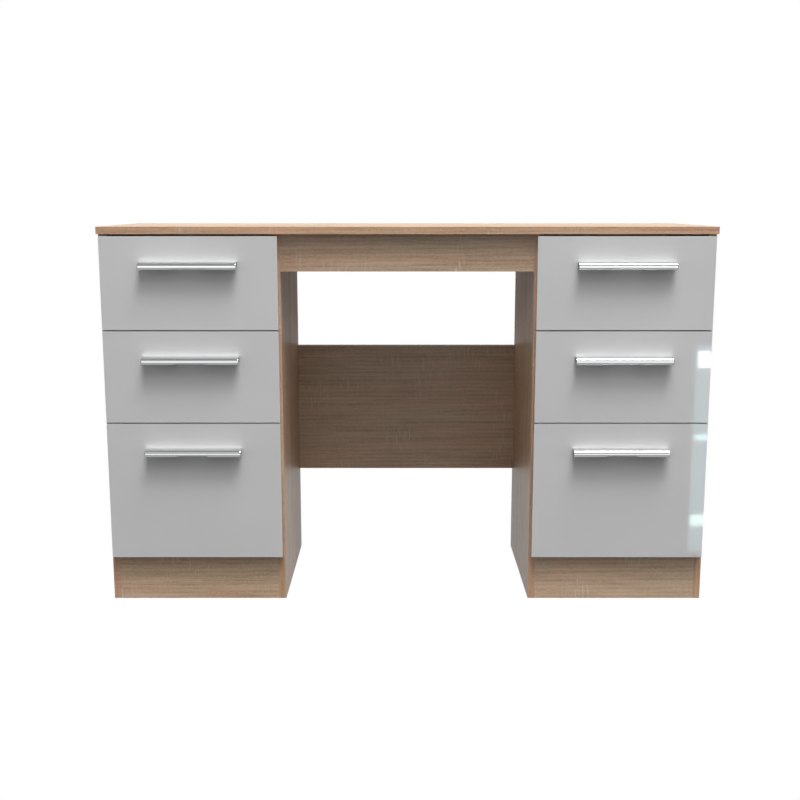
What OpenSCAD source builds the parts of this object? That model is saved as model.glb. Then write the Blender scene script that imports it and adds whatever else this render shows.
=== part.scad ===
// Writing desk with a kneehole between two pedestals, each with three drawers.
// X runs along the desk, Y from the front to the back and Z up. The origin is on the
// floor, midway along the desk and midway between the handles' faces and the back edge.

/* [Desk] */
// Width of the desk over its ends
desk_w = 1265; // [1180:5:1500]
// Height of the writing surface above the floor
desk_h = 795; // [770:5:850]
// Depth from the faces of the drawers to the back edge
desk_d = 393; // [393:1:450]
// Thickness of the oak-faced boards
board_t = 15; // [15:1:18]

/* [Kneehole] */
// Height of the rail under the front of the top
apron_h = 76.5; // [60:0.5:100]
// Height of the modesty panel's lower edge above the floor
modesty_z = 202; // [160:1:260]
// Height of the modesty panel
modesty_h = 303; // [200:1:360]

/* [Pedestals] */
// Width of a pedestal over its two side panels
pedestal_w = 371.5; // [340:0.5:420]
// Height of the plinth under the base board
plinth_h = 100; // [90:1:110]
// Thickness of the hardboard back panels and drawer bases
hardboard_t = 3; // [3:0.5:4]

/* [Drawer fronts] */
// Thickness of the drawer fronts
front_t = 18; // [16:1:19]
// Height of the two shallow fronts
small_front_h = 191.5; // [170:0.5:200]
// Gap between two fronts
front_gap = 2.5; // [2:0.5:4]
// Gap between the top front and the desk top
top_gap = 4; // [2:0.5:6]
// Gap between a front and the outline of its pedestal
side_gap = 4.25; // [2:0.25:6]

/* [Drawer boxes] */
// Thickness of the boards of a drawer box
box_t = 12; // [12:1:15]
// Length of the drawer boxes and their runners
box_d = 350; // [340:5:355]
// How far a drawer pulls out
travel = 260; // [200:5:260]

/* [Handles] */
// Length of a handle
handle_w = 200; // [160:1:240]
// Height of a handle
handle_h = 16; // [14:1:20]
// How far a handle stands out from its front
handle_out = 22; // [20:1:30]
// Distance from the top edge of a front down to its handle's middle
handle_drop = 59; // [45:1:70]
// Width of the foot in the middle of a handle
foot_w = 62; // [60:1:80]

/* [Hidden] */
SIDES = ["left", "right"];
LEVELS = ["top", "middle", "bottom"];
FRAME_NODES = [
    "desk_top", "left_outer_side", "left_inner_side", "right_inner_side",
    "right_outer_side", "left_plinth", "right_plinth", "left_base_board",
    "right_base_board", "left_back_panel", "right_back_panel", "apron_rail",
    "modesty_panel", "cabinet_runners", "runner_screws", "cam_discs", "cam_bolts"
];
DRAWER_PIECES = ["front", "handle", "box", "base", "runners", "rollers", "cabinet_rollers"];

$fn = 48;

OAK = [0.93, 0.82, 0.70];
GREY_GLOSS = [0.70, 0.70, 0.70];
MELAMINE = [0.88, 0.88, 0.86];
HARDBOARD = [0.72, 0.58, 0.42];
CHROME = [0.85, 0.86, 0.88];
RUNNER_WHITE = [0.90, 0.90, 0.87];
NYLON = [0.95, 0.95, 0.92];
ZINC = [0.72, 0.74, 0.76];

// How far a cutting shape runs past the face that it cuts through
past = 1;

// Planes of the desk from front to back
front_y = handle_out - (desk_d + handle_out) / 2;
case_y = front_y + front_t;
back_y = front_y + desk_d;

// Frame
under_top = desk_h - board_t;
pedestal_x = (desk_w - pedestal_w) / 2;
knee_x = desk_w / 2 - pedestal_w;
inner_w = pedestal_w - 2 * board_t;
base_top = plinth_h + board_t;

// Back panels stand in a groove of each side panel
back_inset = 10;
back_groove = 5;
groove_play = 0.2;
back_panel_drop = 15;
back_panel_y = back_y - back_inset - hardboard_t;
back_panel_z = plinth_h - back_panel_drop;

// Drawer fronts, from the desk top down: level 0 is the top drawer
plinth_lap = 2;
fronts_top = under_top - top_gap;
fronts_bottom = plinth_h - plinth_lap;
deep_front_h = fronts_top - fronts_bottom - 2 * (small_front_h + front_gap);
front_w = pedestal_w - 2 * side_gap;
function front_h(level) = level < 2 ? small_front_h : deep_front_h;
function front_z(level) =
    level < 2 ? fronts_top - (level + 1) * small_front_h - level * front_gap : fronts_bottom;

// Drawer boxes
runner_w = 12.5;
box_rise = 26;
box_headroom = 25;
base_rise = 10;
base_groove = 6;
base_play = 0.5;
box_joint_play = 0.1;
box_w = inner_w - 2 * runner_w;
box_inner_w = box_w - 2 * box_t;
function box_z(level) = front_z(level) + box_rise;
function box_h(level) = front_h(level) - box_rise - box_headroom;

// Handles: shells that are open from below, with a foot in their middle
handle_wall = 1.8;
crown_flat = 4;
crown_rise = 1;
crown_setback = 0.5;
crown_w = handle_out - crown_setback - crown_flat;
crown_h = handle_h / 2 - crown_rise;
crown_step = 7.5;
face_r = 14;
face_drop = 1;
face_steps = 8;
groove_d = 0.4;
groove_h = 0.6;
foot_d = 16;
notch_h = 1.5;
handle_screw_pitch = 32;
handle_screw_r = 2;
handle_thread_l = 12;
function handle_z(level) = front_z(level) + front_h(level) - handle_drop;

// Runners, in a frame with x from the side panel towards the drawer, y from the
// runner's front end and z from the lower face of the cabinet channel
sheet = 1.2;
runner_l = box_d;
runner_setback = 2;
channel_h = 26;
flange_w = 9.5;
roller_r = 11.5;
roller_w = 6;
roller_play = 0.3;
roller_inset = 13;
roller_room = 27;
roller_rim = 2.5;
roller_corner = 0.6;
roller_recess = 1;
recess_play = 0.8;
axle_r = 2.5;
axle_play = 0.05;
axle_head_r = 4;
axle_head_t = 1;
shoulder = 0.8;
drawer_flange_z = 27;
drawer_flange_w = 9;
drawer_foot_z = 2;
cabinet_roller_z = drawer_flange_z - roller_play - roller_r;
drawer_roller_z = channel_h / 2;
drawer_roller_y = runner_l - roller_inset;
stop_h = 4;
stop_t = 4;
stop_offset = 2;
stop_play = 0.5;
stop_top = sheet + stop_h;
stop_y = drawer_roller_y - travel - stop_play
    - sqrt(pow(roller_r, 2) - pow(drawer_roller_z - stop_top, 2));
function runner_z(level) = box_z(level) - sheet - drawer_foot_z;

// Runner screws
screw_ys = [45, 180, 325];
screw_r = 1.75;
screw_l = 12;
screw_head_r = 3.2;
screw_head_t = 1.5;

// Cam fittings: a bolt screwed into one board is held by a cam disc in the next one
cam_r = 7.5;
cam_depth = 12.5;
cam_disc_t = 12;
cam_setback = 24;
bolt_r = 3;
bolt_bore_r = 3.5;
bolt_thread = 8;
cam_edge = 60;

// Turns that carry the cam fitting's own frame (bolt along +Z, disc open to +X) onto the desk
BOLT_DOWN_OPEN_RIGHT = [180, 0, 0];
BOLT_DOWN_OPEN_LEFT = [180, 0, 180];
BOLT_RIGHT_OPEN_DOWN = [0, 90, 0];
BOLT_LEFT_OPEN_DOWN = [0, 90, 180];
BOLT_RIGHT_OPEN_BACK = [90, 0, 90];
BOLT_LEFT_OPEN_BACK = [-90, 0, 90];

// Each cam fitting is [where its bolt crosses the joint, its turn]
function top_cams(x, turn) =
    [for (y = [case_y + cam_edge, back_y - cam_edge]) [[x, y, under_top], turn]];
function base_cams(side) =
    [for (end = [-1, 1]) for (y = [case_y + cam_edge, back_y - cam_edge])
        [[side_x(side) + end * inner_w / 2, y, base_top - board_t / 2],
         end < 0 ? BOLT_RIGHT_OPEN_DOWN : BOLT_LEFT_OPEN_DOWN]];
function end_cams(x, half_w, y, z) =
    [for (end = [-1, 1])
        [[x + end * half_w, y, z], end < 0 ? BOLT_RIGHT_OPEN_BACK : BOLT_LEFT_OPEN_BACK]];
function side_x(side) = side == "left" ? -pedestal_x : pedestal_x;
function plinth_cams(side) =
    end_cams(side_x(side), inner_w / 2, case_y + board_t / 2, plinth_h / 2);

outer_x = desk_w / 2 - board_t / 2;
inner_x = knee_x + board_t / 2;
left_outer_cams = top_cams(-outer_x, BOLT_DOWN_OPEN_RIGHT);
left_inner_cams = top_cams(-inner_x, BOLT_DOWN_OPEN_LEFT);
right_inner_cams = top_cams(inner_x, BOLT_DOWN_OPEN_RIGHT);
right_outer_cams = top_cams(outer_x, BOLT_DOWN_OPEN_LEFT);
top_joints = concat(left_outer_cams, left_inner_cams, right_inner_cams, right_outer_cams);
apron_cams = end_cams(0, knee_x, case_y + board_t / 2, under_top - apron_h / 2);
modesty_cams = concat(
    end_cams(0, knee_x, back_y - board_t / 2, modesty_z + cam_edge),
    end_cams(0, knee_x, back_y - board_t / 2, modesty_z + modesty_h - cam_edge));
left_case_cams = concat(base_cams("left"), plinth_cams("left"));
right_case_cams = concat(base_cams("right"), plinth_cams("right"));
knee_cams = concat(apron_cams, modesty_cams);
all_cams = concat(top_joints, left_case_cams, right_case_cams, knee_cams);

// A box given by its lowest and highest corners
module block(low, high) {
    translate(low) cube(high - low);
}

// ---- Cam fittings ----

module at_cams(cams) {
    for (cam = cams) translate(cam[0]) rotate(cam[1]) children();
}

module cam_disc() {
    translate([board_t / 2 - cam_depth, 0, cam_setback]) rotate([0, 90, 0])
        cylinder(r = cam_r, h = cam_disc_t);
}

module cam_bolt() {
    translate([0, 0, -bolt_thread]) cylinder(r = bolt_r, h = bolt_thread + cam_setback - cam_r);
}

// Pocket and bolt bore in the board that holds the cam disc
module cam_cut() {
    translate([board_t / 2 - cam_depth, 0, cam_setback]) rotate([0, 90, 0])
        cylinder(r = cam_r, h = cam_depth + past);
    translate([0, 0, -past]) cylinder(r = bolt_bore_r, h = past + cam_setback - cam_r + past);
}

// Hole in the board that the bolt screws into
module thread_cut() {
    translate([0, 0, -bolt_thread]) cylinder(r = bolt_r, h = bolt_thread + past);
}

module cam_discs() {
    color(ZINC) at_cams(all_cams) cam_disc();
}

module cam_bolts() {
    color(ZINC) at_cams(all_cams) cam_bolt();
}

// ---- Frame boards ----

module desk_top() {
    color(OAK) difference() {
        block([-desk_w / 2, front_y, under_top], [desk_w / 2, back_y, desk_h]);
        at_cams(top_joints) thread_cut();
    }
}

// A side panel with its inner face towards the drawers; facing is 1 when the drawers
// are on its right and -1 when they are on its left
module side_panel(x, facing, own_cams, met_cams) {
    side = x < 0 ? "left" : "right";
    face_x = x + facing * board_t / 2;
    groove_x = face_x - facing * back_groove;
    color(OAK) difference() {
        block([x - board_t / 2, case_y, 0], [x + board_t / 2, back_y, under_top]);
        block([min(groove_x, face_x + facing * past), back_panel_y - groove_play / 2, -past],
              [max(groove_x, face_x + facing * past),
               back_panel_y + hardboard_t + groove_play / 2, under_top + past]);
        at_cams(own_cams) cam_cut();
        at_cams(met_cams) thread_cut();
        at_runners(side) runner_screw_shanks();
    }
}

module left_outer_side() {
    side_panel(-outer_x, 1, left_outer_cams, left_case_cams);
}

module left_inner_side() {
    side_panel(-inner_x, -1, left_inner_cams, concat(left_case_cams, knee_cams));
}

module right_inner_side() {
    side_panel(inner_x, 1, right_inner_cams, concat(right_case_cams, knee_cams));
}

module right_outer_side() {
    side_panel(outer_x, -1, right_outer_cams, right_case_cams);
}

module plinth(side) {
    x = side_x(side);
    color(OAK) difference() {
        block([x - inner_w / 2, case_y, 0], [x + inner_w / 2, case_y + board_t, plinth_h]);
        at_cams(plinth_cams(side)) cam_cut();
    }
}

module base_board(side) {
    x = side_x(side);
    color(OAK) difference() {
        block([x - inner_w / 2, case_y, plinth_h],
              [x + inner_w / 2, back_panel_y - groove_play / 2, base_top]);
        at_cams(base_cams(side)) cam_cut();
    }
}

module back_panel(side) {
    half_w = inner_w / 2 + back_groove - groove_play;
    translate([side_x(side), 0, 0]) color(HARDBOARD)
        block([-half_w, back_panel_y, back_panel_z], [half_w, back_panel_y + hardboard_t, under_top]);
}

module apron_rail() {
    color(OAK) difference() {
        block([-knee_x, case_y, under_top - apron_h], [knee_x, case_y + board_t, under_top]);
        at_cams(apron_cams) cam_cut();
    }
}

module modesty_panel() {
    color(OAK) difference() {
        block([-knee_x, back_y - board_t, modesty_z], [knee_x, back_y, modesty_z + modesty_h]);
        at_cams(modesty_cams) cam_cut();
    }
}

// ---- Runners ----

// Puts a runner piece, drawn in the runner's frame, at both sides of one drawer
module at_runner_pair(side, level) {
    translate([side_x(side), case_y + runner_setback, runner_z(level)])
        for (turn = [0, 1]) mirror([turn, 0, 0]) translate([-inner_w / 2, 0, 0]) children();
}

module at_runners(side) {
    for (level = [0:2]) at_runner_pair(side, level) children();
}

// An axle along +x whose free end carries a head
module axle() {
    reach = shoulder + roller_w + roller_play;
    rotate([0, 90, 0]) {
        cylinder(r = axle_r, h = reach + axle_head_t);
        translate([0, 0, reach]) cylinder(r = axle_head_r, h = axle_head_t);
    }
}

// A roller that turns on an axle, with rounded-off corners and a shallow recess in one face
module roller() {
    bore_r = axle_r + axle_play;
    hub_r = axle_head_r + recess_play;
    rim_r = roller_r - roller_rim;
    translate([shoulder, 0, 0]) rotate([0, 90, 0]) rotate_extrude(convexity = 4)
        polygon([
            [bore_r, 0], [hub_r, 0], [hub_r, roller_recess], [rim_r, roller_recess], [rim_r, 0],
            [roller_r - roller_corner, 0], [roller_r, roller_corner],
            [roller_r, roller_w - roller_corner], [roller_r - roller_corner, roller_w],
            [bore_r, roller_w]
        ]);
}

module at_cabinet_axle() {
    translate([sheet, roller_inset, cabinet_roller_z]) children();
}

module at_drawer_axle() {
    translate([runner_w - sheet, drawer_roller_y, drawer_roller_z]) mirror([1, 0, 0]) children();
}

module cabinet_runner() {
    difference() {
        cube([sheet, runner_l, channel_h]);
        runner_screw_shanks();
    }
    for (z = [0, channel_h - sheet])
        translate([0, roller_room, z]) cube([flange_w, runner_l - roller_room, sheet]);
    block([sheet + stop_offset, stop_y - stop_t, sheet], [flange_w, stop_y, stop_top]);
    at_cabinet_axle() axle();
}

module drawer_runner() {
    web_x = runner_w - sheet;
    top = drawer_flange_z + sheet;
    block([web_x, 0, drawer_foot_z], [runner_w, runner_l, top]);
    block([runner_w - drawer_flange_w, 0, drawer_flange_z], [runner_w, runner_l, top]);
    block([web_x, 0, drawer_foot_z], [runner_w + box_t, runner_l, drawer_foot_z + sheet]);
    at_drawer_axle() axle();
}

module cabinet_runners() {
    color(RUNNER_WHITE) for (side = SIDES) at_runners(side) cabinet_runner();
}

module runner_screw_shanks() {
    for (y = screw_ys) translate([-screw_l, y, channel_h / 2]) rotate([0, 90, 0])
        cylinder(r = screw_r, h = screw_l + sheet);
}

module runner_screw_heads() {
    for (y = screw_ys) translate([sheet, y, channel_h / 2]) rotate([0, 90, 0])
        cylinder(r1 = screw_head_r, r2 = screw_r, h = screw_head_t);
}

module runner_screws() {
    color(ZINC) for (side = SIDES) at_runners(side) {
        runner_screw_shanks();
        runner_screw_heads();
    }
}

// ---- Drawers ----

module drawer_front(side, level) {
    x = side_x(side);
    z = front_z(level);
    base_z = box_z(level) + base_rise;
    half_base = box_inner_w / 2 + base_groove;
    color(GREY_GLOSS) difference() {
        block([x - front_w / 2, front_y, z], [x + front_w / 2, case_y, z + front_h(level)]);
        block([x - half_base, case_y - base_groove, base_z],
              [x + half_base, case_y + past, base_z + hardboard_t]);
        at_handle_screws(side, level)
            translate([0, 0, -past]) cylinder(r = handle_screw_r, h = front_t + 2 * past);
    }
}

// The screws run forward along -Y through the front and into the handle's foot
module at_handle_screws(side, level) {
    for (offset = [-0.5, 0.5] * handle_screw_pitch)
        translate([side_x(side) + offset, case_y, handle_z(level)]) rotate([90, 0, 0]) children();
}

// Points of a handle's section are [distance out from the drawer front, height above the middle]
function crown_points(inset) = [
    for (a = [90 : -crown_step : 0])
        [crown_flat + (crown_w - inset) * cos(a), crown_rise + (crown_h - inset) * sin(a)]
];

function face_points(inset) =
    let (r = face_r - inset,
         top_angle = asin((crown_rise + face_drop) / r),
         foot_angle = -asin((handle_h / 2 - face_drop) / r))
    [for (i = [0 : face_steps])
        let (a = top_angle + (foot_angle - top_angle) * i / face_steps)
        [handle_out - face_r + r * cos(a), r * sin(a) - face_drop]];

module handle_outline(inset) {
    polygon(concat([[0, handle_h / 2 - inset]], crown_points(inset), face_points(inset),
                   [[0, -handle_h / 2]]));
}

// The hollow is shifted by as much as its outline grows, so the wall stays the same and it opens below
module shell_section() {
    difference() {
        handle_outline(0);
        translate([-past, -past]) handle_outline(handle_wall - past);
        translate([handle_out - crown_setback - groove_d, crown_rise - groove_h])
            square([handle_out, groove_h]);
    }
}

module foot_section() {
    intersection() {
        handle_outline(handle_wall / 2);
        translate([0, -handle_h / 2]) square([foot_d, handle_h]);
    }
}

module drawer_handle(side, level) {
    color(CHROME) difference() {
        translate([side_x(side), front_y, handle_z(level)]) rotate([90, 0, -90]) difference() {
            union() {
                linear_extrude(height = handle_w, center = true) shell_section();
                linear_extrude(height = foot_w, center = true) foot_section();
            }
            block([foot_d, -handle_h / 2 - past, -foot_w / 2],
                  [handle_out + past, notch_h - handle_h / 2, foot_w / 2]);
        }
        at_handle_screws(side, level)
            translate([0, 0, front_t]) cylinder(r = handle_screw_r, h = handle_thread_l);
    }
}

// The two sides and the back of a drawer box, as three boards
module drawer_box(side, level) {
    z = box_z(level);
    top = z + box_h(level);
    base_z = z + base_rise;
    back_x = box_inner_w / 2 - box_joint_play;
    color(MELAMINE) translate([side_x(side), 0, 0]) {
        for (turn = [0, 1]) mirror([turn, 0, 0]) difference() {
            block([box_inner_w / 2, case_y, z], [box_w / 2, case_y + box_d, top]);
            block([box_inner_w / 2 - past, case_y - past, base_z],
                  [box_inner_w / 2 + base_groove, case_y + box_d + past, base_z + hardboard_t]);
        }
        block([-back_x, case_y + box_d - box_t, base_z + hardboard_t],
              [back_x, case_y + box_d, top]);
    }
}

module drawer_base(side, level) {
    half_w = box_inner_w / 2 + base_groove - base_play;
    base_z = box_z(level) + base_rise;
    translate([side_x(side), 0, 0]) color(HARDBOARD)
        block([-half_w, case_y - base_groove + base_play, base_z],
              [half_w, case_y + box_d, base_z + hardboard_t]);
}

module drawer_runners(side, level) {
    color(RUNNER_WHITE) at_runner_pair(side, level) drawer_runner();
}

module drawer_rollers(side, level) {
    color(NYLON) at_runner_pair(side, level) at_drawer_axle() roller();
}

module cabinet_rollers(side, level) {
    color(NYLON) at_runner_pair(side, level) at_cabinet_axle() roller();
}

// ---- Nodes ----

desk_top();
left_outer_side();
left_inner_side();
right_inner_side();
right_outer_side();
apron_rail();
modesty_panel();
cabinet_runners();
runner_screws();
cam_discs();
cam_bolts();
for (side = SIDES) {
    plinth(side);
    base_board(side);
    back_panel(side);
    for (level = [0:2]) {
        drawer = str(side, "_", LEVELS[level]);
        drawer_front(side, level);
        drawer_handle(side, level);
        drawer_box(side, level);
        drawer_base(side, level);
        drawer_runners(side, level);
        drawer_rollers(side, level);
        cabinet_rollers(side, level);
    }
}
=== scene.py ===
"""Looks of the kneehole writing desk: oak-effect boards, light-grey gloss fronts, chrome handles.

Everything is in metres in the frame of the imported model: X along the desk, Y from the front to
the back, Z up. CAD nodes keep their meshes and get softened edges and procedural materials;
handles and visible fastenings are rebuilt in finer detail and ride on the bodies they belong to.
"""

import math

import bmesh
import bpy
from mathutils import Euler, Matrix, Vector


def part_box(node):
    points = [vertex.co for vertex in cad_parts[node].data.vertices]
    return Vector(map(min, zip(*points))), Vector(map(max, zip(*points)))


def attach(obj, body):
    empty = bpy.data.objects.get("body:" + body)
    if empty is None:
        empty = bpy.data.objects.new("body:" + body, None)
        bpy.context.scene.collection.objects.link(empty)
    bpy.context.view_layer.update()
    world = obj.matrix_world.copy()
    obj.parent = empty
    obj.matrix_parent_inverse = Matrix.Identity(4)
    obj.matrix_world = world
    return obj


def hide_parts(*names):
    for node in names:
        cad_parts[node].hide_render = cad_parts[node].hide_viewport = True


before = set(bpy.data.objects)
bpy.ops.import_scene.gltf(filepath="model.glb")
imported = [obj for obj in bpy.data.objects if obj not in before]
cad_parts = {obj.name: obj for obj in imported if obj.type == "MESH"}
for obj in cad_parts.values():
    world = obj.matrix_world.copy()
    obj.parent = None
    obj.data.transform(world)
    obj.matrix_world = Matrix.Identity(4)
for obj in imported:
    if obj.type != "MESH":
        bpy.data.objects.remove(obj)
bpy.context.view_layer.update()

SIDES = ("left", "right")
LEVELS = ("top", "middle", "bottom")
DRAWERS = [f"{side}_{level}" for side in SIDES for level in LEVELS]

# ---------------------------------------------------------------- shader building


class Shader:
    """One material's node tree. Each method adds nodes and returns an output socket."""

    def __init__(self, name):
        self.material = bpy.data.materials.new(name)
        self.material.use_nodes = True
        self.tree = self.material.node_tree
        self.tree.nodes.clear()

    def node(self, kind, **settings):
        made = self.tree.nodes.new("ShaderNode" + kind)
        for key, value in settings.items():
            setattr(made, key, value)
        return made

    def put(self, value, socket):
        """Links a socket's value to an input, or sets the input to a constant."""
        if isinstance(value, bpy.types.NodeSocket):
            self.tree.links.new(value, socket)
        else:
            socket.default_value = value

    def put_colour(self, value, socket):
        """As put(), for a colour that is (r, g, b) or a socket."""
        self.put(value if isinstance(value, bpy.types.NodeSocket) else (*value, 1.0), socket)

    def math(self, operation, a, b=0.0):
        node = self.node("Math", operation=operation)
        self.put(a, node.inputs[0])
        self.put(b, node.inputs[1])
        return node.outputs[0]

    def remap(self, value, low, high, to_low=0.0, to_high=1.0):
        """Carries low..high smoothly onto to_low..to_high."""
        node = self.node("MapRange", interpolation_type="SMOOTHSTEP")
        for socket, given in zip(node.inputs, (value, low, high, to_low, to_high)):
            self.put(given, socket)
        return node.outputs[0]

    def mix(self, factor, a, b, blend="MIX"):
        """Mixes two colours."""
        node = self.node("Mix", data_type="RGBA", blend_type=blend)
        self.put(factor, node.inputs[0])
        self.put_colour(a, node.inputs[6])
        self.put_colour(b, node.inputs[7])
        return node.outputs[2]

    def position(self):
        return self.node("TexCoord").outputs["Object"]

    def along(self, vector, axis):
        """One component of a vector."""
        split = self.node("SeparateXYZ")
        self.put(vector, split.inputs[0])
        return split.outputs[axis]

    def normal_axis(self, axis):
        """How far the surface faces along an axis, from -1 to 1."""
        return self.along(self.node("NewGeometry").outputs["Normal"], axis)

    def grey(self, value):
        """A grey colour of the given brightness."""
        node = self.node("CombineColor")
        for socket in node.inputs:
            self.put(value, socket)
        return node.outputs[0]

    def shaded(self, colour, shade):
        """A colour multiplied by another."""
        return self.mix(1.0, colour, shade, "MULTIPLY")

    def placed(self, vector, scale=(1, 1, 1), offset=(0, 0, 0), turn=(0, 0, 0)):
        node = self.node("Mapping")
        self.put(vector, node.inputs["Vector"])
        node.inputs["Location"].default_value = offset
        node.inputs["Rotation"].default_value = [math.radians(a) for a in turn]
        node.inputs["Scale"].default_value = scale
        return node.outputs[0]

    def noise(self, vector, scale, detail=2.0, roughness=0.5, distortion=0.0):
        node = self.node("TexNoise")
        self.put(vector, node.inputs["Vector"])
        node.inputs["Scale"].default_value = scale
        node.inputs["Detail"].default_value = detail
        node.inputs["Roughness"].default_value = roughness
        node.inputs["Distortion"].default_value = distortion
        return node.outputs["Fac"]

    def rings(self, vector, scale, distortion, detail_scale):
        """Growth rings round the X axis of the given vector."""
        node = self.node("TexWave", wave_type="RINGS", rings_direction="X", wave_profile="SAW")
        self.put(vector, node.inputs["Vector"])
        node.inputs["Scale"].default_value = scale
        node.inputs["Distortion"].default_value = distortion
        node.inputs["Detail"].default_value = 2.0
        node.inputs["Detail Scale"].default_value = detail_scale
        return node.outputs["Fac"]

    def cells(self, vector, scale):
        node = self.node("TexVoronoi")
        self.put(vector, node.inputs["Vector"])
        node.inputs["Scale"].default_value = scale
        return node.outputs["Color"]

    def ramp(self, value, *stops):
        """A colour ramp through (place, (r, g, b)) stops."""
        node = self.node("ValToRGB")
        elements = node.color_ramp.elements
        while len(elements) < len(stops):
            elements.new(0.5)
        for element, (place, colour) in zip(elements, stops):
            element.position = place
            element.color = (*colour, 1.0)
        self.put(value, node.inputs[0])
        return node.outputs[0]

    def bump(self, height, distance):
        node = self.node("Bump")
        node.inputs["Strength"].default_value = 1.0
        node.inputs["Distance"].default_value = distance
        self.put(height, node.inputs["Height"])
        return node.outputs[0]

    def surface(self, colour, roughness, normal=None, **constants):
        """Closes the tree with a Principled shader and returns the material."""
        shader = self.node("BsdfPrincipled")
        self.put_colour(colour, shader.inputs["Base Color"])
        self.put(roughness, shader.inputs["Roughness"])
        if normal is not None:
            self.put(normal, shader.inputs["Normal"])
        for name, value in constants.items():
            shader.inputs[name.replace("_", " ")].default_value = value
        self.put(shader.outputs[0], self.node("OutputMaterial").inputs[0])
        return self.material


# ---------------------------------------------------------------- materials

OAK_DARK = (0.46, 0.302, 0.190)
OAK_MID = (0.675, 0.462, 0.308)
OAK_LIGHT = (0.80, 0.590, 0.418)
OAK_GREEN = (0.965, 1.0, 0.98)
OAK_PINK = (1.03, 0.98, 0.98)
SAWN_OAK = (0.84, 0.74, 0.60)
BAND_TINT = (0.95, 0.83, 0.76)
FRONT_GREY = (0.735, 0.735, 0.735)
MELAMINE_WHITE = (0.80, 0.79, 0.76)
CHIP_DARK = (0.40, 0.28, 0.17)
CHIP_LIGHT = (0.72, 0.57, 0.40)
HARDBOARD_DARK = (0.30, 0.19, 0.11)
HARDBOARD_LIGHT = (0.48, 0.33, 0.20)


def stretched(grain, along):
    """Scale factors that draw a pattern out along the grain axis."""
    return tuple(along if axis == grain else 1.0 for axis in "XYZ")


# Turns that lay a log's axis a little askew to the board, and draw cathedral arches on its face
LOG_TURNS = {"X": (0, 2.2, 1.4), "Y": (90, 2.0, 90), "Z": (2.0, 90, 0)}
LOG_OFFSET = (0.0, 0.045, 0.06)


def oak_pattern(shader, vector, grain):
    """Colour and height of sawn oak foil whose grain runs along the given axis."""
    tone = shader.noise(shader.placed(vector, stretched(grain, 0.12)), 9.0, 2.0)
    streak = shader.noise(shader.placed(vector, stretched(grain, 0.04)), 75.0, 4.0, 0.62, 0.4)
    fibre = shader.noise(shader.placed(vector, stretched(grain, 0.035)), 430.0, 3.0, 0.6)
    pore = shader.noise(shader.placed(vector, stretched(grain, 0.06)), 1500.0, 1.0)
    hue = shader.noise(shader.placed(vector, stretched(grain, 0.15)), 26.0, 2.0)
    log_scale = (0.35, 1, 1) if grain == "X" else (1, 1, 1)
    log = shader.placed(vector, log_scale, LOG_OFFSET, LOG_TURNS[grain])
    growth = shader.rings(log, 38.0, 5.0, 14.0)
    depth = shader.math("MULTIPLY", streak, 0.62)
    for layer, weight in ((fibre, 0.46), (tone, 0.30), (growth, 0.20)):
        depth = shader.math("ADD", depth, shader.math("MULTIPLY", layer, weight))
    colour = shader.ramp(depth, (0.56, OAK_DARK), (0.79, OAK_MID), (1.02, OAK_LIGHT))
    colour = shader.shaded(colour, shader.ramp(hue, (0.38, OAK_GREEN), (0.62, OAK_PINK)))
    grooves = shader.remap(pore, 0.30, 0.40, 0.80, 1.0)
    colour = shader.shaded(colour, shader.grey(grooves))
    ticks, height = saw_marks(shader, vector, grain)
    colour = shader.mix(ticks, colour, SAWN_OAK)
    height = shader.math("ADD", height, shader.math("MULTIPLY", fibre, 0.6))
    height = shader.math("ADD", height, shader.math("MULTIPLY", grooves, 0.8))
    return colour, height


def saw_marks(shader, vector, grain):
    """Pale saw marks across the grain, in scattered patches: how strong they are, and their height."""
    across = tuple(1.0 if axis == grain else 0.085 for axis in "XYZ")
    marks = shader.noise(shader.placed(vector, across), 330.0, 1.0)
    patches = shader.noise(shader.placed(vector, offset=(3.1, 1.7, 0.4)), 11.0, 1.0)
    mark = shader.remap(marks, 0.54, 0.68)
    amount = shader.math("MULTIPLY", mark, shader.remap(patches, 0.48, 0.66))
    return shader.math("MULTIPLY", amount, 0.55), shader.math("MULTIPLY", amount, -0.5)


def oak(name, grain, thickness, number, tone):
    """Oak-effect board, a little darker or paler by tone; on the apron rail and modesty panel the darker
    tone is painted shade. Its edges carry a warmer band.
    """
    shader = Shader(name)
    shift = (0.37 * number, 0.23 * number, 0.41 * number)
    place = shader.placed(shader.position(), offset=shift)
    board_face, face_height = oak_pattern(shader, place, grain)
    band_place = shader.placed(shader.position(), offset=(shift[1] + 5.0, shift[2], shift[0]))
    band = oak_pattern(shader, band_place, grain)[0]
    band = shader.shaded(band, BAND_TINT)
    facing = shader.math("ABSOLUTE", shader.normal_axis(thickness))
    is_face = shader.remap(facing, 0.45, 0.55)
    colour = shader.mix(is_face, band, board_face)
    # Painted shade on the apron rail and modesty panel: their tone below 1 darkens the whole board.
    colour = shader.shaded(colour, (tone, tone, tone))
    roughness = shader.remap(face_height, 0.2, 1.4, 0.52, 0.40)
    return shader.surface(colour, roughness, shader.bump(face_height, 0.00012),
                          Specular_IOR_Level=0.5)


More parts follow.
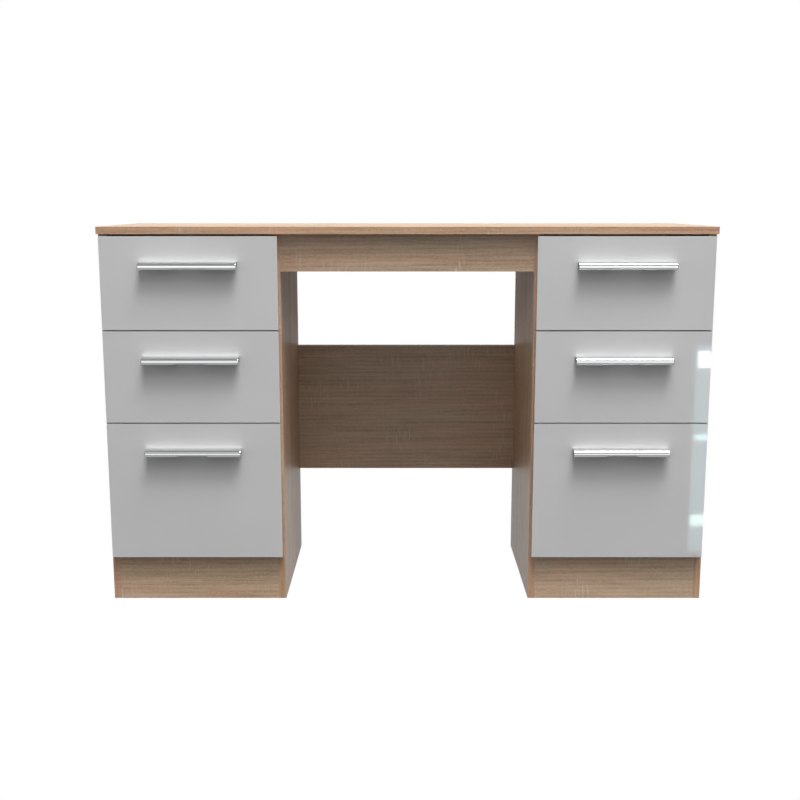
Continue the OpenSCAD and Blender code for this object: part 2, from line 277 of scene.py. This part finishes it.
def front_gloss():
    """Light-grey high-gloss foil on the faces and edges, white melamine behind."""
    shader = Shader("front_gloss")
    place = shader.position()
    cloud = shader.noise(place, 6.0, 2.0)
    fleck = shader.noise(place, 2400.0, 1.0)
    tone = shader.remap(cloud, 0.3, 0.7, 0.985, 1.015)
    colour = shader.shaded(FRONT_GREY, shader.grey(tone))
    behind = shader.remap(shader.normal_axis("Y"), 0.5, 0.6)
    colour = shader.mix(behind, colour, MELAMINE_WHITE)
    smear = shader.noise(shader.placed(place, (1, 1, 0.4)), 24.0, 3.0, 0.6)
    gloss = shader.remap(smear, 0.35, 0.75, 0.02, 0.045)
    roughness = shader.math("ADD", gloss, shader.math("MULTIPLY", behind, 0.38))
    ripple = shader.noise(place, 40.0, 1.0)
    height = shader.math("ADD", ripple, shader.math("MULTIPLY", fleck, 0.01))
    return shader.surface(colour, roughness, shader.bump(height, 0.000012))


def groove_shade_distance(shader, place):
    """How far above or below the nearest handle's groove a point lies, for the painted shade along it.
    """
    rise = shader.along(place, "Z")
    nearest = 1.0
    for level in LEVELS:
        low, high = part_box(f"left_{level}_handle")
        joint = (low.z + high.z) / 2 + GROOVE_RISE
        away = shader.math("ABSOLUTE", shader.math("SUBTRACT", rise, joint))
        nearest = shader.math("MINIMUM", away, nearest)
    return nearest


def chrome():
    """Bright polished chrome with faint polishing lines, and painted shade along the groove of each
    handle.
    """
    shader = Shader("chrome")
    place = shader.position()
    lines = shader.noise(shader.placed(place, (0.02, 1, 1)), 2600.0, 2.0)
    smear = shader.noise(place, 60.0, 3.0, 0.6)
    roughness = shader.math("ADD", shader.remap(smear, 0.4, 0.75, 0.03, 0.06),
                            shader.math("MULTIPLY", lines, 0.02))
    colour = shader.mix(smear, (0.88, 0.885, 0.89), (0.83, 0.84, 0.85))
    away = groove_shade_distance(shader, place)
    # Painted shade: the chrome's colour drops to a tenth along each handle's groove.
    shade = shader.remap(away, 0.7 * GROOVE_HALF, 1.1 * GROOVE_HALF, 0.10, 1.0)
    colour = shader.shaded(colour, shader.grey(shade))
    return shader.surface(colour, roughness, shader.bump(lines, 0.0000015), Metallic=1.0)


def chipboard(shader, place):
    flakes = shader.cells(shader.placed(place, (1, 1, 1.6)), 520.0)
    return shader.ramp(flakes, (0.2, CHIP_DARK), (0.8, CHIP_LIGHT))


def melamine():
    """Pale melamine boards with bare chipboard at their back ends."""
    shader = Shader("drawer_board")
    place = shader.position()
    grain = shader.noise(shader.placed(place, (1, 0.06, 1)), 380.0, 2.0)
    colour = shader.mix(shader.remap(grain, 0.35, 0.7), MELAMINE_WHITE, (0.75, 0.74, 0.70))
    bare = shader.remap(shader.normal_axis("Y"), 0.7, 0.8)
    colour = shader.mix(bare, colour, chipboard(shader, place))
    roughness = shader.math("ADD", shader.remap(grain, 0.3, 0.7, 0.42, 0.50),
                            shader.math("MULTIPLY", bare, 0.35))
    return shader.surface(colour, roughness, shader.bump(grain, 0.00008))


def hardboard(name, pale_axis, pale_sign):
    """Pressed brown fibre board with a pale foil on the side that faces into the desk."""
    shader = Shader(name)
    place = shader.position()
    fibres = shader.noise(shader.placed(place, (1, 1, 0.5)), 900.0, 4.0, 0.7, 1.2)
    cloud = shader.noise(place, 14.0, 3.0)
    brown = shader.ramp(fibres, (0.30, HARDBOARD_DARK), (0.70, HARDBOARD_LIGHT))
    brown = shader.shaded(brown, shader.grey(shader.remap(cloud, 0.3, 0.7, 0.85, 1.1)))
    side = shader.math("MULTIPLY", shader.normal_axis(pale_axis), pale_sign)
    pale = shader.remap(side, 0.5, 0.6)
    foil = shader.mix(shader.remap(cloud, 0.3, 0.7), (0.78, 0.77, 0.74), (0.72, 0.71, 0.68))
    colour = shader.mix(pale, brown, foil)
    roughness = shader.math("SUBTRACT", 0.68, shader.math("MULTIPLY", pale, 0.25))
    return shader.surface(colour, roughness, shader.bump(fibres, 0.00015))


def powder_coat():
    """Off-white powder coat with a fine orange peel and small rubbed patches."""
    shader = Shader("runner_steel")
    place = shader.position()
    peel = shader.noise(place, 900.0, 2.0)
    rub = shader.noise(shader.placed(place, (1, 0.25, 1)), 70.0, 4.0, 0.7)
    colour = shader.mix(shader.remap(rub, 0.60, 0.80), (0.82, 0.82, 0.79), (0.66, 0.66, 0.64))
    roughness = shader.remap(rub, 0.3, 0.8, 0.34, 0.52)
    return shader.surface(colour, roughness, shader.bump(peel, 0.00008))


def nylon():
    """Natural nylon, slightly see-through, with turning marks."""
    shader = Shader("nylon")
    place = shader.position()
    marks = shader.noise(place, 420.0, 3.0, 0.6)
    colour = shader.mix(marks, (0.90, 0.89, 0.84), (0.82, 0.81, 0.76))
    return shader.surface(colour, shader.remap(marks, 0.3, 0.7, 0.36, 0.5),
                          shader.bump(marks, 0.00006), Subsurface_Weight=0.15, Subsurface_Scale=0.002)


def zinc():
    """Bright zinc plate: a faint spangle and a little handling dullness."""
    shader = Shader("zinc")
    place = shader.position()
    spangle = shader.cells(place, 1500.0)
    dull = shader.noise(place, 300.0, 3.0)
    colour = shader.ramp(spangle, (0.0, (0.62, 0.64, 0.67)), (1.0, (0.76, 0.77, 0.78)))
    return shader.surface(colour, shader.remap(dull, 0.3, 0.7, 0.22, 0.42),
                          shader.bump(dull, 0.00003), Metallic=1.0)


# ---------------------------------------------------------------- meshes

SMOOTH_ANGLE = math.radians(32)
BEVEL_ANGLE = math.radians(35)
FLAT_ANGLE = math.radians(1)
WELD_DISTANCE = 1e-6


def piece(name, mesh, material, body, replaced=()):
    """A named object that rides on a body, takes its finish from a slot and may stand for nodes."""
    obj = bpy.data.objects.new(name, mesh)
    bpy.context.scene.collection.objects.link(obj)
    obj.data.materials.clear()
    obj.data.materials.append(material)
    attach(obj, body)
    if replaced:
        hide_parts(*replaced)


def mesh_from(name, builder):
    """A mesh from a bmesh, with flat faces except where faces meet at a shallow angle."""
    bmesh.ops.remove_doubles(builder, verts=builder.verts, dist=1e-7)
    bmesh.ops.recalc_face_normals(builder, faces=builder.faces)
    mesh = bpy.data.meshes.new(name)
    builder.to_mesh(mesh)
    builder.free()
    mesh.shade_smooth()
    mesh.set_sharp_from_angle(angle=SMOOTH_ANGLE)
    return mesh


def sweep(builder, outline, stations):
    """Skins an outline through stations and caps the ends. A station carries a point into space."""
    loops = [[builder.verts.new(station(point)) for point in outline] for station in stations]
    count = len(outline)
    for near, far in zip(loops, loops[1:]):
        for i in range(count):
            builder.faces.new((near[i], near[(i + 1) % count], far[(i + 1) % count], far[i]))
    builder.faces.new(loops[0])
    builder.faces.new(reversed(loops[-1]))


def lathe(builder, profile, steps):
    """Turns (radius, height) points round Z. The profile starts and ends on the axis."""
    rings = []
    for radius, height in profile:
        if radius == 0:
            rings.append([builder.verts.new((0, 0, height))])
        else:
            turns = [2 * math.pi * i / steps for i in range(steps)]
            rings.append([builder.verts.new((radius * math.cos(a), radius * math.sin(a), height))
                          for a in turns])
    for low, high in zip(rings, rings[1:]):
        for i in range(steps):
            j = (i + 1) % steps
            corners = [low[i % len(low)], low[j % len(low)], high[j % len(high)], high[i % len(high)]]
            builder.faces.new(list(dict.fromkeys(corners)))


def cut_cross(mesh, width, arm, low, high):
    """Sinks a cross recess into the top of a mesh."""
    cutter = bmesh.new()
    for turn in (0, 90):
        turned = Matrix.Rotation(math.radians(turn), 4, "Z")
        size = Matrix.Diagonal((2 * arm, width, high - low, 1))
        place = Matrix.Translation((0, 0, (low + high) / 2))
        bmesh.ops.create_cube(cutter, size=1, matrix=turned @ place @ size)
    tool_mesh = bpy.data.meshes.new("cross")
    cutter.to_mesh(tool_mesh)
    cutter.free()
    return boolean(mesh, tool_mesh)


def boolean(mesh, tool_mesh):
    """The mesh with the tool cut away from it."""
    blank = bpy.data.objects.new("blank", mesh)
    tool = bpy.data.objects.new("tool", tool_mesh)
    for obj in (blank, tool):
        bpy.context.scene.collection.objects.link(obj)
    cut = blank.modifiers.new("cut", "BOOLEAN")
    cut.operation, cut.solver, cut.use_self, cut.object = "DIFFERENCE", "EXACT", True, tool
    graph = bpy.context.evaluated_depsgraph_get()
    result = bpy.data.meshes.new_from_object(blank.evaluated_get(graph))
    for obj in (blank, tool):
        bpy.data.objects.remove(obj)
    result.set_sharp_from_angle(angle=SMOOTH_ANGLE)
    return result


def scattered(name, mesh, places):
    """One mesh that repeats another at each place, a matrix."""
    builder = bmesh.new()
    for place in places:
        first = len(builder.verts)
        builder.from_mesh(mesh)
        builder.verts.ensure_lookup_table()
        bmesh.ops.transform(builder, matrix=place, verts=builder.verts[first:])
    result = bpy.data.meshes.new(name)
    builder.to_mesh(result)
    builder.free()
    result.set_sharp_from_angle(angle=SMOOTH_ANGLE)
    return result


def islands(node):
    """Centre and size of each separate solid in a CAD node."""
    builder = bmesh.new()
    builder.from_mesh(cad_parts[node].data)
    bmesh.ops.remove_doubles(builder, verts=builder.verts, dist=WELD_DISTANCE)
    left = set(builder.verts)
    found = []
    while left:
        stack, group = [left.pop()], []
        while stack:
            vert = stack.pop()
            group.append(vert.co.copy())
            for edge in vert.link_edges:
                other = edge.other_vert(vert)
                if other in left:
                    left.remove(other)
                    stack.append(other)
        low = Vector([min(co[i] for co in group) for i in range(3)])
        high = Vector([max(co[i] for co in group) for i in range(3)])
        found.append(((low + high) / 2, high - low))
    builder.free()
    return sorted(found, key=lambda item: [round(c, 5) for c in item[0]])


def joined_faces():
    """Geometry nodes that join a CAD mesh's split faces, so that its edges can be rounded."""
    group = bpy.data.node_groups.new("joined_faces", "GeometryNodeTree")
    for way in ("INPUT", "OUTPUT"):
        group.interface.new_socket("Geometry", in_out=way, socket_type="NodeSocketGeometry")
    merge = group.nodes.new("GeometryNodeMergeByDistance")
    merge.inputs["Distance"].default_value = WELD_DISTANCE
    geometry = merge.outputs[0]
    group.links.new(group.nodes.new("NodeGroupInput").outputs[0], merge.inputs[0])
    for name in ("custom_normal", "sharp_edge", "sharp_face"):
        drop = group.nodes.new("GeometryNodeRemoveAttribute")
        drop.inputs["Name"].default_value = name
        group.links.new(geometry, drop.inputs["Geometry"])
        geometry = drop.outputs[0]
    group.links.new(geometry, group.nodes.new("NodeGroupOutput").inputs[0])
    return group


def soften(node, width, segments=2):
    """Rounds a CAD node's edges with modifiers; its mesh stays as it is."""
    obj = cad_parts[node]
    join = obj.modifiers.new("join", "NODES")
    join.node_group = bpy.data.node_groups.get("joined_faces") or joined_faces()
    flat = obj.modifiers.new("flat", "DECIMATE")
    flat.decimate_type, flat.angle_limit = "DISSOLVE", FLAT_ANGLE
    bevel = obj.modifiers.new("bevel", "BEVEL")
    bevel.width, bevel.segments = width, segments
    bevel.limit_method, bevel.angle_limit = "ANGLE", BEVEL_ANGLE
    bevel.harden_normals = True


def dress(node, material):
    """Gives a CAD node its material."""
    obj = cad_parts[node]
    for held in obj.material_slots:
        held.material = material


# ---------------------------------------------------------------- handles

# Distances out are measured from the drawer front, rises from the middle of the handle's height
WALL = 0.0018
CROWN_FLAT = 0.004
CROWN_RISE = 0.0016
GROOVE_RISE = 0.00095
GROOVE_HALF = 0.00065
GROOVE_DEPTH = 0.0012
GROOVE_WALL = 0.0016
GROOVE_ROUND = 0.0002
CROWN_SETBACK = 0.0005
FACE_RADIUS = 0.014
FACE_DROP = 0.001
LIP_RISE = 0.0005
LIP_ROUND = 0.0002
FOOT_WIDTH = 0.062
FOOT_DEPTH = 0.0158
NOTCH_START = -0.004
NOTCH_SPAN = 0.004
NOTCH_RISE = 0.0015
NOTCH_EDGE = 0.0004


def crown(reach, half, inset):
    """The upper part of a handle's section, from the drawer front out and down."""
    wide = reach - CROWN_SETBACK - CROWN_FLAT - inset
    high = half - CROWN_RISE - inset
    angles = [math.radians(90 - 5 * i) for i in range(19)]
    curve = [(CROWN_FLAT + wide * math.cos(a), CROWN_RISE + high * math.sin(a)) for a in angles]
    return [(0.0, half - inset)] + curve


def face(reach, half, inset):
    """The bulged lower part of a handle's section, down to its rounded lip."""
    radius = FACE_RADIUS - inset
    start = math.asin((GROOVE_RISE - GROOVE_HALF + FACE_DROP) / radius)
    stop = -math.asin((half - FACE_DROP - LIP_RISE) / radius)
    centre = reach - FACE_RADIUS
    angles = [start + (stop - start) * i / 12 for i in range(13)]
    return [(centre + radius * math.cos(a), radius * math.sin(a) - FACE_DROP) for a in angles]


def groove(bottom):
    """The bottom of the joint that runs along a handle."""
    return [(bottom, GROOVE_RISE + GROOVE_ROUND), (bottom, GROOVE_RISE - GROOVE_ROUND)]


def lip(start, half, steps):
    """The rounding at the lower end of one side of the shell's wall."""
    return [(start + steps[0], LIP_ROUND - half), (start + steps[1], -half)]


def shell_walls(reach, height):
    """Outer and inner points of a handle's section as (distance out, height) pairs."""
    half = height / 2
    bottom = reach - GROOVE_DEPTH
    outer = crown(reach, half, 0.0) + groove(bottom) + face(reach, half, 0.0)
    inner = crown(reach, half, WALL) + groove(bottom - GROOVE_WALL) + face(reach, half, WALL)
    outer += lip(outer[-1][0], half, (-0.0003, -0.0008))
    inner += lip(inner[-1][0], half, (0.0002, 0.0006))
    return outer, inner


def notched(rise):
    """Height of a lip's point where the lip is cut back over the foot."""
    below = rise - NOTCH_START
    return rise if below > 0 else NOTCH_START + below * (1 - NOTCH_RISE / NOTCH_SPAN)


def add_shell(builder, centre, width, reach, height, front_y):
    """The shell of a handle, its ends thinned a little and its lip cut back in the middle."""
    outer, inner = shell_walls(reach, height)
    outline = list(zip(outer, inner)) + list(zip(inner, outer))[::-1]

    def station(x, thinning, cut_back):
        def carry(pair):
            (out, rise), (other_out, other_rise) = pair
            out += (other_out - out) * thinning
            rise += (other_rise - rise) * thinning
            return (x, front_y - out, centre.z + (notched(rise) if cut_back else rise))
        return carry

    half, notch = width / 2, FOOT_WIDTH / 2
    ends = [(half, 0.24), (half - 0.0002, 0.08), (half - 0.0005, 0.0), (half - 0.0015, 0.0)]
    places = [(-x, thinning, False) for x, thinning in ends]
    places += [(-notch - NOTCH_EDGE, 0.0, False), (-notch, 0.0, True),
               (notch, 0.0, True), (notch + NOTCH_EDGE, 0.0, False)]
    places += [(x, thinning, False) for x, thinning in reversed(ends)]
    sweep(builder, outline, [station(centre.x + x, t, cut) for x, t, cut in places])


def add_foot(builder, centre, reach, height, front_y):
    """The block in the middle of the shell that the handle's screws go into."""
    half = height / 2
    roof = [point for point in crown(reach, half, WALL / 2) if point[0] < FOOT_DEPTH]
    nose = [(FOOT_DEPTH, roof[-1][1] - 0.0004), (FOOT_DEPTH, 0.0012 - half),
            (FOOT_DEPTH - 0.0004, 0.0004 - half), (FOOT_DEPTH - 0.0012, -half)]
    outline = roof + nose + [(0.0, -half)]

    def station(x, scale):
        return lambda point: (x, front_y - point[0] * scale, centre.z + point[1] * scale)

    side = FOOT_WIDTH / 2
    places = [(-side, 0.94), (0.0006 - side, 1.0), (side - 0.0006, 1.0), (side, 0.94)]
    sweep(builder, outline, [station(centre.x + x, scale) for x, scale in places])


def build_handle(drawer, material):
    """The shell and its foot, in the place of the CAD handle."""
    node = f"{drawer}_handle"
    low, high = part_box(node)
    centre = (low + high) / 2
    reach, height = high.y - low.y, high.z - low.z
    builder = bmesh.new()
    add_shell(builder, centre, high.x - low.x, reach, height, high.y)
    add_foot(builder, centre, reach, height, high.y)
    piece(f"{drawer}_shell_handle", mesh_from(node, builder), material,
          f"{drawer}_drawer", (node,))


# ---------------------------------------------------------------- fastenings

THREAD_PITCH = 0.0011
THREAD_ROOT = 0.82
SCREW_STEPS = 24
CAM_STEPS = 32
CAM_RADIUS = 0.0075
CAM_RIM = 0.0006
RUNNER_SCREW_HEAD = 0.0015
HANDLE_SCREW_PITCH = 0.032
DRAWER_BOARD = 0.012
FIXING_INSET = 0.060


def screw_shank(shank_r, length):
    """Profile of a threaded shank below z = 0, from its tip on the axis up to the head."""
    threads = max(4, int(length / THREAD_PITCH))
    rings = [(shank_r * (1.0 if i % 2 else THREAD_ROOT), -length + length * i / (2 * threads))
             for i in range(1, 2 * threads)]
    return [(0, -length - shank_r)] + rings + [(shank_r, 0.0)]


def pan_screw(name, head_r, head_h, shank_r, length):
    """A pan-head screw: head on top of z = 0, shank below, cross recess in the head."""
    dome = [(head_r * math.cos(a), head_h * (0.35 + 0.65 * math.sin(a)))
            for a in map(math.radians, (12, 28, 45, 62, 78))]
    head = [(head_r * 0.97, 0.0), (head_r, head_h * 0.25)] + dome + [(0, head_h)]
    builder = bmesh.new()
    lathe(builder, screw_shank(shank_r, length) + head, SCREW_STEPS)
    screw = mesh_from(name, builder)
    return cut_cross(screw, head_r * 0.22, head_r * 0.58, head_h * 0.35, head_h * 1.5)


def countersunk_screw(name, head_r, head_h, shank_r, length):
    """A countersunk screw with its flat head's face at z = head_h."""
    head = [(head_r, head_h * 0.72), (head_r, head_h * 0.9), (head_r * 0.94, head_h), (0, head_h)]
    builder = bmesh.new()
    lathe(builder, screw_shank(shank_r, length) + head, SCREW_STEPS)
    screw = mesh_from(name, builder)
    return cut_cross(screw, head_r * 0.24, head_r * 0.55, head_h * 0.2, head_h * 1.5)


def cam_mesh(radius, depth):
    """A cam disc with a chamfered rim, a sunk ring and a cross recess."""
    sunk = depth - 0.0005
    inside = radius - CAM_RIM
    wall = [(inside, 0), (radius, CAM_RIM), (radius, depth - CAM_RIM), (inside, depth)]
    ring = [(radius * 0.78, depth), (radius * 0.74, sunk), (radius * 0.60, sunk), (radius * 0.56, depth)]
    builder = bmesh.new()
    lathe(builder, [(0, 0)] + wall + ring + [(0, depth)], CAM_STEPS)
    cam = mesh_from("cam", builder)
    return cut_cross(cam, radius * 0.16, radius * 0.48, depth - 0.0035, depth + 0.001)


def facing(direction):
    """Turn that carries +Z onto a direction."""
    return Vector((0, 0, 1)).rotation_difference(Vector(direction)).to_matrix().to_4x4()


def pedestal_x(side_of):
    """Middle of the pedestal on the side of the desk where the given x lies."""
    low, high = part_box("left_base_board")
    return math.copysign(abs(low.x + high.x) / 2, side_of)


def build_cams(material):
    """Detailed cam discs at the places of the CAD ones; each opens out of its board's face."""
    places = []
    for centre, size in islands("cam_discs"):
        axis = min(range(3), key=lambda i: size[i])
        depth = size[axis]
        direction = Vector((0, 0, 0))
        direction[axis] = cam_opening(centre, axis)
        places.append(Matrix.Translation(centre - direction * depth / 2) @ facing(direction))
    mesh = scattered("cam_fittings", cam_mesh(CAM_RADIUS, depth), places)
    piece("cam_fittings", mesh, material, "carcass", ("cam_discs",))


def cam_opening(centre, axis):
    """Which way a cam disc's pocket opens: into its pedestal, down, or to the back."""
    if axis == 1:
        return 1
    if axis == 2:
        return -1
    return 1 if centre.x < pedestal_x(centre.x) else -1


def build_runner_screws(material):
    """Countersunk screws through the cabinet runners into the side panels."""
    places = []
    for centre, size in islands("runner_screws"):
        inward = 1 if centre.x < pedestal_x(centre.x) else -1
        direction = Vector((inward, 0, 0))
        head_base = centre + direction * (size.x / 2 - RUNNER_SCREW_HEAD)
        places.append(Matrix.Translation(head_base) @ facing(direction))
    screw = countersunk_screw("countersunk", 0.0032, RUNNER_SCREW_HEAD, 0.0017, 0.0115)
    mesh = scattered("runner_side_screws", screw, places)
    piece("runner_side_screws", mesh, material, "carcass", ("runner_screws",))


def build_handle_screws(drawer, material):
    """Two machine screws, their heads inside the drawer, that hold the handle's foot."""
    low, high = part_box(f"{drawer}_handle")
    centre = (low + high) / 2
    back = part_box(f"{drawer}_front")[1].y
    xs = [centre.x - HANDLE_SCREW_PITCH / 2, centre.x + HANDLE_SCREW_PITCH / 2]
    places = [Matrix.Translation((x, back, centre.z)) @ facing((0, 1, 0)) for x in xs]
    screw = pan_screw("handle_screw", 0.0042, 0.0024, 0.0019, 0.026)
    mesh = scattered(f"{drawer}_handle_screws", screw, places)
    piece(f"{drawer}_handle_screws", mesh, material, f"{drawer}_drawer")


def build_runner_fixings(drawer, material):
    """Four pan-head screws up through the runners' lower flanges into the drawer's sides."""
    low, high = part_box(f"{drawer}_runners")
    box_low, box_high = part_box(f"{drawer}_box")
    places = [Matrix.Translation((x, y, low.z)) @ facing((0, 0, -1))
              for x in (box_low.x + DRAWER_BOARD / 2, box_high.x - DRAWER_BOARD / 2)
              for y in (low.y + FIXING_INSET, high.y - FIXING_INSET)]
    screw = pan_screw("runner_fixing", 0.0032, 0.0016, 0.0015, 0.010)
    mesh = scattered(f"{drawer}_runner_fixings", screw, places)
    piece(f"{drawer}_runner_fixings", mesh, material, f"{drawer}_drawer")


# ---------------------------------------------------------------- the desk

BOARD_EDGE = 0.0005
FRONT_EDGE = 0.0012
BOX_EDGE = 0.0004
STEEL_EDGE = 0.0002


def dress_boards():
    """Oak boards: (node, axis of the grain, axis through the thickness, tone)."""
    # The apron rail's 0.88 and the modesty panel's 0.86 are painted shade, for their places under the
    # top and inside the kneehole.
    boards = [("desk_top", "X", "Z", 1.0), ("apron_rail", "X", "Y", 0.88),
              ("modesty_panel", "X", "Y", 0.86)]
    for side in SIDES:
        boards += [(f"{side}_outer_side", "Z", "X", 1.04), (f"{side}_inner_side", "Z", "X", 1.04),
                   (f"{side}_plinth", "X", "Y", 1.02), (f"{side}_base_board", "X", "Z", 1.0)]
    for number, (node, grain, thickness, tone) in enumerate(boards):
        dress(node, oak(f"oak_{node}", grain, thickness, number + 1, tone))
        soften(node, BOARD_EDGE)


def dress_drawers(materials):
    """Finishes of the drawers' pieces, their handles and their screws."""
    for drawer in DRAWERS:
        dress(f"{drawer}_front", materials["front"])
        soften(f"{drawer}_front", FRONT_EDGE, 3)
        dress(f"{drawer}_box", materials["melamine"])
        soften(f"{drawer}_box", BOX_EDGE)
        dress(f"{drawer}_base", materials["base"])
        dress(f"{drawer}_runners", materials["steel"])
        soften(f"{drawer}_runners", STEEL_EDGE)
        dress(f"{drawer}_rollers", materials["nylon"])
        dress(f"{drawer}_cabinet_rollers", materials["nylon"])
        build_handle(drawer, materials["chrome"])
        build_handle_screws(drawer, materials["zinc"])
        build_runner_fixings(drawer, materials["zinc"])


def dress_carcass(materials):
    """Finishes of the pieces that stay put, and their fastenings."""
    dress_boards()
    for side in SIDES:
        dress(f"{side}_back_panel", materials["back"])
    dress("cabinet_runners", materials["steel"])
    soften("cabinet_runners", STEEL_EDGE)
    dress("cam_bolts", materials["zinc"])
    build_cams(materials["zinc"])
    build_runner_screws(materials["zinc"])


# ---------------------------------------------------------------- stage, lights and camera

CAMERA_PLACE = (-0.0152, -2.4618, 0.8427)
CAMERA_PITCH = 10.067
CAMERA_LENS = 50.0

# Panes of a window at the right that the gloss fronts mirror, and the shade behind them:
# (name, middle height, height, watts, colour)
PANES = [
    ("window_shade", -0.97, 1.57, 12.0, (0.60, 0.92, 1.0)),
    ("pane_top", -0.285, 0.13, 4.2, (0.96, 1.0, 1.0)),
    ("pane_middle", -0.865, 0.045, 1.1, (0.62, 0.97, 1.0)),
    ("pane_bottom", -1.50, 0.086, 2.4, (0.74, 1.0, 0.86)),
]
PANE_LEFT = 2.16
PANE_WIDTH = 0.74
SHADE_PLACE = -6.0
PANE_PLACE = -5.95
WORLD_ABOVE = 0.28
WORLD_BELOW = 0.03
STAGE_RADIUS = 30
# These cards show up in reflections but shed no light
SEEN_ONLY_IN_GLOSS = ("front_card", "floor_card", "back_card_low", "back_card_high")
# Soft lights: (name, place, the point it faces, (width, height), watts)
LIGHTS = [
    ("front_card", (0.0, -9.2, -0.05), (0.0, -0.2, -0.05), (7.8, 7.1), 185.0),
    ("floor_card", (0.0, -4.2, -3.2), (0.0, -4.2, 0.0), (8.0, 6.6), 66.0),
    ("back_card_low", (0.0, 9.0, -4.8), (0.0, 0.0, -4.8), (12.0, 8.4), 300.0),
    ("back_card_high", (0.0, 9.0, 2.3), (0.0, 0.0, 2.3), (12.0, 3.5), 110.0),
    ("upper_front", (1.0, -6.56, 6.76), (0.0, -0.2, 0.4), (4.4, 2.0), 31.0),
    ("high_front", (1.0, -4.84, 8.11), (0.0, -0.2, 0.4), (4.4, 2.4), 167.0),
    ("steep_front", (1.0, -2.68, 9.05), (0.0, -0.2, 0.4), (4.4, 2.2), 750.0),
    ("left_fill", (-7.4, -4.5, 2.6), (0.0, -0.2, 0.4), (4.0, 4.0), 50.0),
    ("right_fill", (7.4, -4.5, 2.6), (0.0, -0.2, 0.4), (4.0, 4.0), 35.0),
]


def area_light(name, place, target, size, watts, sheds_light):
    """A rectangular light that the camera doesn't see, aimed at a point."""
    data = bpy.data.lights.new(name, "AREA")
    data.shape = "RECTANGLE"
    data.size, data.size_y = size
    data.energy = watts
    light = bpy.data.objects.new(name, data)
    light.location = place
    aim = Vector(target) - Vector(place)
    light.rotation_mode = "QUATERNION"
    light.rotation_quaternion = aim.to_track_quat("-Z", "Y")
    light.visible_camera = False
    light.visible_diffuse = sheds_light
    bpy.context.scene.collection.objects.link(light)
    return light


def build_lights():
    """The studio lights, the cards that only gloss shows, and the window."""
    for name, place, target, size, watts in LIGHTS:
        area_light(name, place, target, size, watts, name not in SEEN_ONLY_IN_GLOSS)
    middle = PANE_LEFT + PANE_WIDTH / 2
    for name, height, tall, watts, colour in PANES:
        depth = SHADE_PLACE if name == "window_shade" else PANE_PLACE
        pane = area_light(name, (middle, depth, height), (middle, 0.0, height),
                          (PANE_WIDTH, tall), watts, False)
        pane.data.color = colour


def build_world():
    """Even light from all round, dimmer from above than from below the horizon."""
    world = bpy.data.worlds.new("studio")
    bpy.context.scene.world = world
    world.use_nodes = True
    nodes, links = world.node_tree.nodes, world.node_tree.links
    nodes.clear()
    split = nodes.new("ShaderNodeSeparateXYZ")
    links.new(nodes.new("ShaderNodeTexCoord").outputs["Generated"], split.inputs[0])
    ramp = nodes.new("ShaderNodeValToRGB")
    ramp.color_ramp.elements[0].position = 0.45
    ramp.color_ramp.elements[1].position = 0.55
    ramp.color_ramp.elements[0].color = (*[WORLD_BELOW] * 3, 1)
    ramp.color_ramp.elements[1].color = (*[WORLD_ABOVE] * 3, 1)
    rise = nodes.new("ShaderNodeMapRange")
    rise.inputs["From Min"].default_value = -1.0
    links.new(split.outputs["Z"], rise.inputs["Value"])
    links.new(rise.outputs[0], ramp.inputs[0])
    background = nodes.new("ShaderNodeBackground")
    links.new(ramp.outputs[0], background.inputs[0])
    links.new(background.outputs[0], nodes.new("ShaderNodeOutputWorld").inputs[0])


def glowing_white():
    """White that shows its front only, so that views from below look through the floor."""
    shader = Shader("studio_white")
    glow = shader.node("Emission")
    glow.inputs["Strength"].default_value = 1.0
    clear = shader.node("BsdfTransparent")
    either = shader.node("MixShader")
    shader.put(shader.node("NewGeometry").outputs["Backfacing"], either.inputs[0])
    shader.put(glow.outputs[0], either.inputs[1])
    shader.put(clear.outputs[0], either.inputs[2])
    shader.put(either.outputs[0], shader.node("OutputMaterial").inputs[0])
    return shader.material


def stage_piece(name, builder, material):
    """A part of the studio that only the camera sees."""
    mesh = bpy.data.meshes.new(name)
    builder.to_mesh(mesh)
    builder.free()
    mesh.materials.append(material)
    obj = bpy.data.objects.new(name, mesh)
    bpy.context.scene.collection.objects.link(obj)
    obj.visible_diffuse = False
    obj.visible_glossy = False
    obj.visible_transmission = False
    obj.visible_shadow = False


def build_stage():
    """A white floor inside a white dome. They fill the picture behind the desk and light nothing."""
    white = glowing_white()
    floor = bmesh.new()
    bmesh.ops.create_circle(floor, cap_ends=True, radius=STAGE_RADIUS, segments=64)
    stage_piece("floor", floor, white)
    dome = bmesh.new()
    bmesh.ops.create_icosphere(dome, subdivisions=4, radius=STAGE_RADIUS)
    bmesh.ops.reverse_faces(dome, faces=dome.faces)
    stage_piece("backdrop", dome, white)


def build_camera():
    """The camera that was fitted to the photograph's edges."""
    data = bpy.data.cameras.new("camera")
    data.lens, data.sensor_width = CAMERA_LENS, 36.0
    camera = bpy.data.objects.new("camera", data)
    camera.location = CAMERA_PLACE
    camera.rotation_euler = Euler((math.radians(90 - CAMERA_PITCH), 0, 0))
    bpy.context.scene.collection.objects.link(camera)
    bpy.context.scene.camera = camera


bpy.context.scene.view_settings.view_transform = "Standard"
build_camera()
build_world()
build_lights()
build_stage()

materials = {
    "front": front_gloss(),
    "chrome": chrome(),
    "melamine": melamine(),
    "base": hardboard("drawer_base_board", "Z", 1),
    "back": hardboard("back_board", "Y", -1),
    "steel": powder_coat(),
    "nylon": nylon(),
    "zinc": zinc(),
}
dress_carcass(materials)
dress_drawers(materials)
